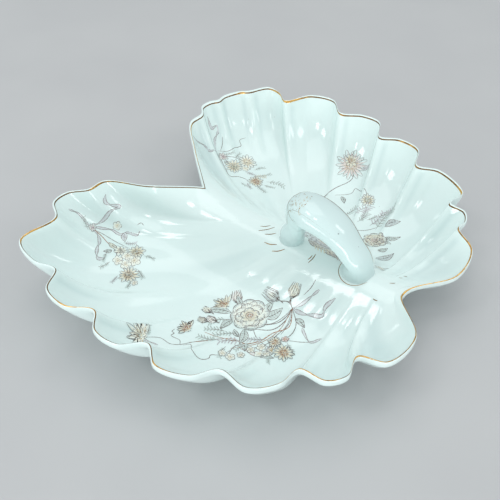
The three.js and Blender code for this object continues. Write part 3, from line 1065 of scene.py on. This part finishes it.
def ribbon(work, plan, width, tint=MAUVE):
    """A ribbon that turns over along its length, edged with fine lines."""
    settled = work.drop(spline(plan, RIBBON_STEPS))
    places, normals = settled[:, 0], settled[:, 1]
    side = unit(np.cross(np.gradient(places, axis=0), normals))
    share = np.linspace(0, 1, len(places))
    turns = 0.55 * math.pi * (len(plan) - 1)
    half = 0.5 * width * (0.2 + 0.8 * np.abs(np.cos(turns * share + work.random.uniform(0, 2))))
    half *= np.minimum(1, 6 * np.minimum(share, 1 - share) + 0.3)
    columns = len(RIBBON_COVERS)
    sheet = places[:, None] + side[:, None] * (half[:, None] * np.linspace(-1, 1, columns))[..., None]
    upright = np.repeat(normals[:, None], columns, axis=1)
    work.add_tint(sheet, upright, srgb(tint), np.array([RIBBON_COVERS]))
    for edge in (sheet[:, 0], sheet[:, -1]):
        work.stroke(np.stack([edge, normals], 1), FINE_LINE, SEPIA)


def stem(work, plan, width=LINE, ink=SEPIA):
    """A stalk or tendril drawn with one stroke."""
    work.trail(plan, width, ink)


# Sprays, in plan: each row is the motif, its place, its heading in degrees, and its sizes;
# stems and ribbons give the points they pass through instead.
FRONT_SPRAY = (
    (ribbon, ((49, -38), (53, -33), (56, -27), (59, -21)), 2.4),
    (ribbon, ((49, -38), (56, -38), (63, -36), (70, -33), (69, -28), (72, -21)), 3.0),
    (ribbon, ((40, -84), (45, -83), (52, -82), (55, -75), (54, -67)), 3.2, ROSY),
    (ribbon, ((63, -46), (67, -49), (74, -52), (79, -46)), 1.8),
    (stem, ((51, -28), (53, -22), (53, -17))),
    (stem, ((49, -38), (49, -43), (47, -51), (41, -58)), BOLD_LINE),
    (stem, ((49, -38), (55, -50), (49, -60), (46, -71), (40, -79), (31, -82), (24, -89)), BOLD_LINE, RUST),
    (stem, ((24, -89), (17, -96), (11, -103)), LINE, RUST),
    (stem, ((49, -38), (53, -46), (54, -58))),
    (stem, ((49, -38), (44, -36), (38, -38)), BOLD_LINE),
    (stem, ((49, -38), (46, -36), (44, -33)), BOLD_LINE),
    (stem, ((35, -89), (42, -80), (48, -70), (51, -56), (49, -38)), LINE, RUST),
    (stem, ((38, -60), (44, -54), (47, -47), (49, -38))),
    (stem, ((38, -65), (47, -58), (50, -48), (49, -38)), BOLD_LINE),
    (stem, ((35, -85), (45, -80), (51, -71), (52, -61), (53, -50), (49, -38))),
    (stem, ((12, -89), (21, -87), (31, -84), (37, -79)), LINE, RUST),
    (stem, ((74, -52), (68, -56), (61, -60))),
    (stem, ((46, -71), (42, -70), (36, -66))),
    (stem, ((10, -108), (13, -104), (20, -110), (28, -111), (31, -106), (30, -103), (35, -97), (36, -90))),
    (stem, ((-11, -122), (-5, -114), (3, -113), (8, -109), (12, -102), (19, -93), (30, -83))),
    (stem, ((-4, -101), (-4, -104), (-2, -104), (-2, -107), (5, -106), (8, -109))),
    (ribbon, ((-13, -131), (-12, -126), (-8, -123), (-1, -120)), 2.2),
    (leaf, 36, -54, 62, 15, 7),
    (leaf, 35, -51, 92, 11, 5),
    (leaf, 55, -43, -14, 10, 4),
    (leaf, 15, -64, 214, 20, 6),
    (leaf, 33, -78, 150, 8, 3.5),
    (leaf, 56, -84, 40, 9, 4),
    (leaf, 40, -78, 300, 8, 3.5),
    (bud, 37, -38, 176, 14, GREY),
    (bud, 44, -33, 92, 12),
    (bud, 13, -55, 132, 11, ROSY),
    (aster, 9, -62, 168, 11, STRAW, RUST, 110, 7),
    (sprig, 17, -70, 234, 13),
    (sprig, 23, -79, 212, 14),
    (sprig, 25, -89, 200, 14),
    (sprig, 32, -90, 285, 10),
    (sprig, 30, -77, 222, 14),
    (sprig, 37, -79, 226, 15, MAUVE),
    (sprig, 43, -76, 250, 12),
    (sprig, 48, -68, 215, 12, MAUVE),
    (sprig, 62, -62, 330, 10),
    (sprig, 60, -76, 290, 9),
    (stem, ((49, -38), (58, -46), (60, -55), (56, -64))),
    (stem, ((40, -79), (36, -86), (37, -93))),
    (stem, ((46, -71), (52, -72), (60, -70))),
    (leaf, 20, -68, 262, 12, 5),
    (leaf, 32, -70, 292, 13, 5.5),
    (leaf, 17, -54, 152, 9, 4),
    (blossom, 50, -75, 20, 3.2),
    (blossom, 46, -81, 60, 2.8),
    (blossom, 53, -81, 30, 3.4),
    (blossom, 57, -79, 80, 2.8),
    (aster, 58, -73, 200, 5, CREAM, STRAW, 200, 9),
    (bud, 12, -77, 190, 8, ROSY),
    (bud, 7, -81, 200, 7),
    (bud, 4, -73, 180, 8),
    (rose, 27, -58, 128, 13.5),
    (blossom, 59, -60, 40, 2.6, RED, RED),
    (aster, 55, -66, 20, 5.5),
    (aster, 65, -70, 70, 7.5),
    (blossom, 40, -95, 10, 3.2, CREAM),
    (blossom, 44, -89, 50, 2.6, CREAM),
    (blossom, 34, -96, 50, 2.6, CREAM),
    (aster, 3, -95, 178, 9, STRAW, RUST, 130, 8),
    (aster, -11, -122, 208, 14, CREAM, STRAW, 170, 9),
    (aster, -12, -123, 208, 8, STRAW, SAGE, 120, 6),
    (sprig, -11, -121, 120, 9),
)
FRONT_LEFT_SPRAY = (
    (ribbon, ((-128, -83), (-124, -78), (-116, -77)), 1.8),
    (ribbon, ((-115, -76), (-113, -66), (-111, -59), (-110, -50), (-113, -55), (-116, -58), (-119, -54)), 3),
    (ribbon, ((-115, -76), (-110, -70), (-105, -65), (-99, -63), (-96, -58), (-89, -54), (-89, -51)), 2.0),
    (ribbon, ((-113, -76), (-107, -77), (-101, -81), (-96, -87), (-94, -90), (-91, -92), (-88, -88)), 2.6),
    (stem, ((-115, -76), (-105, -75), (-96, -76), (-88, -73)), BOLD_LINE, RUST),
    (stem, ((-112, -76), (-107, -73), (-96, -70), (-84, -67))),
    (stem, ((-95, -75), (-85, -79), (-78, -82), (-70, -85))),
    (stem, ((-93, -49), (-92, -46), (-89, -46))),
    (sprig, -114, -80, 175, 9),
    (leaf, -97, -59, 315, 8, 4.5, MAUVE),
    (leaf, -98, -75, 12, 10, 4.5, STRAW),
    (leaf, -90, -79, 250, 7, 3),
    (blossom, -104, -60, 30, 3.4),
    (aster, -86, -74, 30, 6.5, CREAM, DARK, 360, 9),
    (aster, -78, -66, 60, 8, STRAW, DARK, 360, 10),
    (blossom, -73, -73, 10, 5),
    (blossom, -79, -74, 25, 4.4),
    (blossom, -75, -80, 45, 4.2),
    (blossom, -81, -82, 80, 3.8),
    (aster, -67, -85, 320, 8.5, STRAW, DARK),
    (sprig, -84, -87, 260, 8),
    (sprig, -92, -66, 40, 9, MAUVE),
    (sprig, -71, -65, 20, 8),
    (sprig, -90, -84, 300, 7),
    (sprig, -72, -91, 285, 8, MAUVE),
    (sprig, -66, -77, 340, 9),
    (sprig, -62, -88, 300, 8),
    (aster, -114, -76, 90, 4, ROSY, MAUVE, 360, 7),
    (blossom, -58, -88, 15, 2.6),
)
REAR_LEFT_SPRAY = (
    (ribbon, ((-115, 42), (-111, 50), (-105, 52), (-103, 58)), 2.0),
    (ribbon, ((-103, 58), (-106, 60), (-113, 67), (-116, 75), (-119, 77), (-120, 71), (-126, 73)), 2.8),
    (stem, ((-105, 62), (-102, 66), (-98, 72), (-98, 77), (-96, 83), (-100, 86), (-98, 92))),
    (stem, ((-103, 58), (-98, 57), (-87, 51), (-79, 47), (-74, 53), (-67, 55)), BOLD_LINE),
    (stem, ((-103, 58), (-96, 60), (-88, 60))),
    (stem, ((-103, 59), (-95, 66), (-84, 72))),
    (stem, ((-111, 75), (-107, 70), (-104, 64))),
    (sprig, -100, 64, 60, 9),
    (sprig, -68, 48, 5, 9),
    (sprig, -53, 65, 18, 15),
    (sprig, -52, 60, 20, 9),
    (sprig, -62, 68, 55, 9),
    (sprig, -74, 62, 20, 9, MAUVE),
    (sprig, -70, 70, 60, 9),
    (sprig, -64, 52, 330, 9, MAUVE),
    (sprig, -90, 68, 100, 8),
    (leaf, -95, 58, 20, 8, 3.5),
    (aster, -85, 60, 20, 8.5, STRAW, SAGE),
    (aster, -81, 73, 60, 9, CREAM, STRAW),
    (aster, -60, 59, 350, 7.5, STRAW, RUST),
    (blossom, -77, 66, 40, 3.6, CREAM),
    (aster, -99, 61, 0, 5, ROSY, MAUVE, 360, 7),
    (sprig, -66, 62, 40, 11, STRAW),
    (sprig, -56, 55, 350, 11),
)
REAR_RIGHT_SPRAY = (
    (stem, ((2, 116), (6, 109), (0, 93), (-3, 80), (0, 66), (10, 52)), BOLD_LINE),
    (stem, ((4, 86), (14, 96), (14, 102), (22, 100), (26, 98), (29, 95))),
    (stem, ((52, 74), (46, 66), (38, 60), (30, 56))),
    (stem, ((60, 62), (52, 56), (44, 52))),
    (stem, ((81, 24), (83, 30), (85, 38))),
    (aster, -2, 119, 110, 14, ROSY, STRAW, 360, 19),
    (aster, -4, 122, 90, 7, STRAW, RUST, 360, 9),
    (leaf, 8, 120, 50, 8, 3.5, MAUVE),
    (leaf, 9, 88, 320, 8, 3.5),
    (aster, 31, 93, 60, 6.5, STRAW, SAGE),
    (sprig, 23, 72, 75, 12),
    (sprig, 30, 75, 60, 14, MAUVE),
    (sprig, 36, 70, 80, 12),
    (sprig, 38, 74, 104, 12, MAUVE),
    (sprig, 46, 72, 84, 17, MAUVE),
    (sprig, 52, 71, 88, 19),
    (sprig, 41, 76, 60, 10),
    (sprig, 47, 84, 60, 12, MAUVE),
    (sprig, 56, 84, 75, 12),
    (leaf, 58, 74, 52, 13, 4.5, GREY),
    (leaf, 63, 65, 40, 13, 3.5),
    (leaf, 62, 60, 20, 9, 3),
    (rose, 58, 60, 300, 8.5, STRAW, RUST),
    (leaf, 70, 39, 68, 18, 5.5, GREY),
    (blossom, 81, 24, 40, 4, CREAM),
    (leaf, 66, 50, 60, 9, 3.5),
)
# This spray lies under the handle and is printed in darker rust, mauve and grey inks than the others: partly
# the print's own colour, partly painted shade under the handle.
REAR_ROSE_SPRAY = (
    (leaf, 27, 22, 190, 15, 6, GREY),
    (leaf, 27, 12, 172, 13, 5, MAUVE),
    (leaf, 48, 9, 335, 13, 5, GREY),
    (leaf, 50, 15, 8, 14, 5, MAUVE),
    (rose, 37, 18, 150, 14, MAUVE, RUST),
    (leaf, 29, 9, 352, 15, 6, RUST),
    (leaf, 43, 8, 350, 14, 6, RUST),
    (leaf, 56, 7, 345, 11, 5, RUST),
    (sprig, 33, 6, 4, 16, STRAW),
    (sprig, 46, 5, 352, 14, RUST),
    (sprig, 56, 12, 350, 12, MAUVE),
    (sprig, 26, 8, 185, 10, MAUVE),
    (bud, 44, 33, 70, 11, STRAW),
    (sprig, 28, 30, 120, 12),
    (stem, ((30, 56), (34, 44), (38, 32)), BOLD_LINE, RUST),
)
# Short gilt touches on the ridge at the handle's two roots, as start and end in plan.
RIDGE_TOUCHES = (
    ((-8, -1.7), (-2.3, 3.4)),
    ((-6.4, -6.1), (1.4, 4)),
    ((-0.3, -6.2), (6.3, -1)),
    ((3.3, -11.6), (12.9, -8.9)),
    ((12.5, -14.4), (20.4, -9.3)),
    ((39.9, -8.5), (40.6, -4.1)),
    ((41.5, -10.3), (42.1, -2)),
    ((97.4, 4.5), (100.2, 7.6)),
    ((97.8, 19.4), (99.3, 21.8)),
    ((98.3, 26.4), (100.3, 28.7)),
    ((94.7, -11.7), (98, -11.7)),
)
# The line drawn round the front of the handle's right root, in dull brown gold: partly a gilt line, partly
# painted shadow where the root meets the glaze.
ROOT_GILT_AND_SHADE_LINE = ((61.6, 4), (62, -2), (64.5, -7), (69, -10), (75, -10.8), (81, -8.5), (85, -4))
ROOT_GILT_AND_SHADE_LINE_WIDTH = 0.45
TOUCH_WIDTH = 0.65
TOUCH_BOW = 0.08
TOUCH_SHINE = 0.35


def print_spray(name, ground, rows, seed, material):
    """One spray of flowers, laid motif by motif."""
    work = Print(ground, seed)
    for motif, *settings in rows:
        motif(work, *settings)
    work.finish(name, material)


def kiln_specks(strap, printed):
    """Iron specks that bled through the glaze of the strap in the firing."""
    points, faces, covers = [], [], []
    for distance, corner, size in SPECKS:
        place, across, ahead, normal = strap.spot(distance, corner)
        middle = place + PRINT_LIFT * normal
        first = len(points) + 1
        points.append(middle)
        for turn in np.arange(SPECK_SIDES) * 2 * math.pi / SPECK_SIDES:
            reach = size * (1 - SPECK_WAVE_SHARE + SPECK_WAVE_SHARE * math.sin(SPECK_WAVES * turn))
            points.append(middle + reach * (math.cos(turn) * across + math.sin(turn) * ahead))
        covers += [1] + [SPECK_EDGE_COVER] * SPECK_SIDES
        for side in range(SPECK_SIDES):
            faces.append((first - 1, first + side, first + (side + 1) % SPECK_SIDES))
    specks = add_piece("handle_iron_specks", points, faces, [printed])
    set_attribute(specks, "ink", [srgb(DARK)] * len(points), "FLOAT_COLOR", "color")
    set_attribute(specks, "cover", covers)
    # The specks take the handle's painted shade.
    set_attribute(specks, "pool", [HANDLE_PAINTED_SHADE] * len(points))


def gild_ridge(ground, seed, gold):
    """Quick brush touches of gold on the ridge, and the dull line round the right root, partly gilt and
    partly painted shadow.
    """
    work = Print(ground, seed)
    for start, end in np.array(RIDGE_TOUCHES):
        bow = TOUCH_BOW * (end - start)[::-1] * [1, -1]
        work.trail([start, (start + end) / 2 + bow, end], TOUCH_WIDTH, RUST)
    # Dull brown gold round the right root: partly gilding, partly painted contact shadow.
    work.trail(ROOT_GILT_AND_SHADE_LINE, ROOT_GILT_AND_SHADE_LINE_WIDTH, RUST)
    touches = work.finish("ridge_gilt_touches_and_root_shade_line", gold)
    set_attribute(touches, "shine", np.full(len(work.points), TOUCH_SHINE))


def build_stage():
    """Pale floor, soft panels round the dish and the camera at the photograph's angle."""
    scene = bpy.context.scene
    mesh = bpy.data.meshes.new("floor")
    corners = [(FLOOR_REACH * x, FLOOR_REACH * y, 0) for x, y in ((-1, -1), (1, -1), (1, 1), (-1, 1))]
    mesh.from_pydata(corners, [], [(0, 1, 2, 3)])
    mesh.materials.append(pale_floor())
    floor = bpy.data.objects.new("floor", mesh)
    scene.collection.objects.link(floor)
    world = bpy.data.worlds.new("studio")
    world.use_nodes = True
    background = world.node_tree.nodes["Background"]
    background.inputs["Color"].default_value = srgb("#E9EDEE")
    background.inputs["Strength"].default_value = STUDIO_STRENGTH
    scene.world = world
    for name, place, width, depth, power, spread in LAMPS:
        lamp = bpy.data.lights.new(name, "AREA")
        lamp.shape = "RECTANGLE"
        lamp.size = width
        lamp.size_y = depth
        lamp.energy = power
        lamp.spread = math.radians(spread)
        box = bpy.data.objects.new(name, lamp)
        box.location = place
        box.rotation_euler = (-Vector(place)).to_track_quat("-Z", "Y").to_euler()
        scene.collection.objects.link(box)
    lens = bpy.data.cameras.new("camera")
    lens.sensor_width = CAMERA_SENSOR
    lens.lens = CAMERA_LENS
    camera = bpy.data.objects.new("camera", lens)
    camera.location = CAMERA_PLACE
    camera.rotation_euler = (math.radians(CAMERA_TILT), 0, math.radians(CAMERA_YAW))
    scene.collection.objects.link(camera)
    scene.camera = camera
    scene.view_settings.view_transform = "Standard"


porcelain = glazed_porcelain()
biscuit = biscuit_foot()
gold = worn_gold()
printed = transfer_print()
front = build_shell("front_shell", FRONT_RIM, -1, FRONT_LIP_SHARES, FRONT_FLUTE_SHARES, porcelain)
rear = build_shell("rear_shell", REAR_RIM, 1, REAR_LIP_SHARES, REAR_FLUTE_SHARES, porcelain)
ground = Ground([front.inside, rear.inside], [front.pools, rear.pools])
underside = Ground([front.outside, rear.outside])
strap = build_handle(ground, porcelain)
build_foot_ring("front_foot_ring", -1, underside, porcelain, biscuit)
build_foot_ring("rear_foot_ring", 1, underside, porcelain, biscuit)
gild_rim("front_rim_gilding", front, FRONT_GOLD_RIDE, 11, gold)
gild_rim("rear_rim_gilding", rear, REAR_GOLD_RIDE, 12, gold)
rear_lines = [(REAR_EDGE_LINE, REAR_EDGE_WIDTHS)]
front_lines = [(FRONT_EDGE_LINE, FRONT_EDGE_WIDTHS), (SHOULDER_LINE, SHOULDER_WIDTHS)]
gild_handle("handle_rear_gilding", strap, rear_lines, 0, 21, gold)
gild_handle("handle_front_gilding", strap, front_lines, STIPPLE_TOUCHES, 23, gold)
gild_ridge(ground, 5, gold)
kiln_specks(strap, printed)
for name, rows, seed in (
    ("front_spray_print", FRONT_SPRAY, 1),
    ("front_left_spray_print", FRONT_LEFT_SPRAY, 2),
    ("rear_left_spray_print", REAR_LEFT_SPRAY, 3),
    ("rear_right_spray_print", REAR_RIGHT_SPRAY, 4),
    ("rear_rose_spray_print", REAR_ROSE_SPRAY, 6),
):
    print_spray(name, ground, rows, seed, printed)
build_stage()
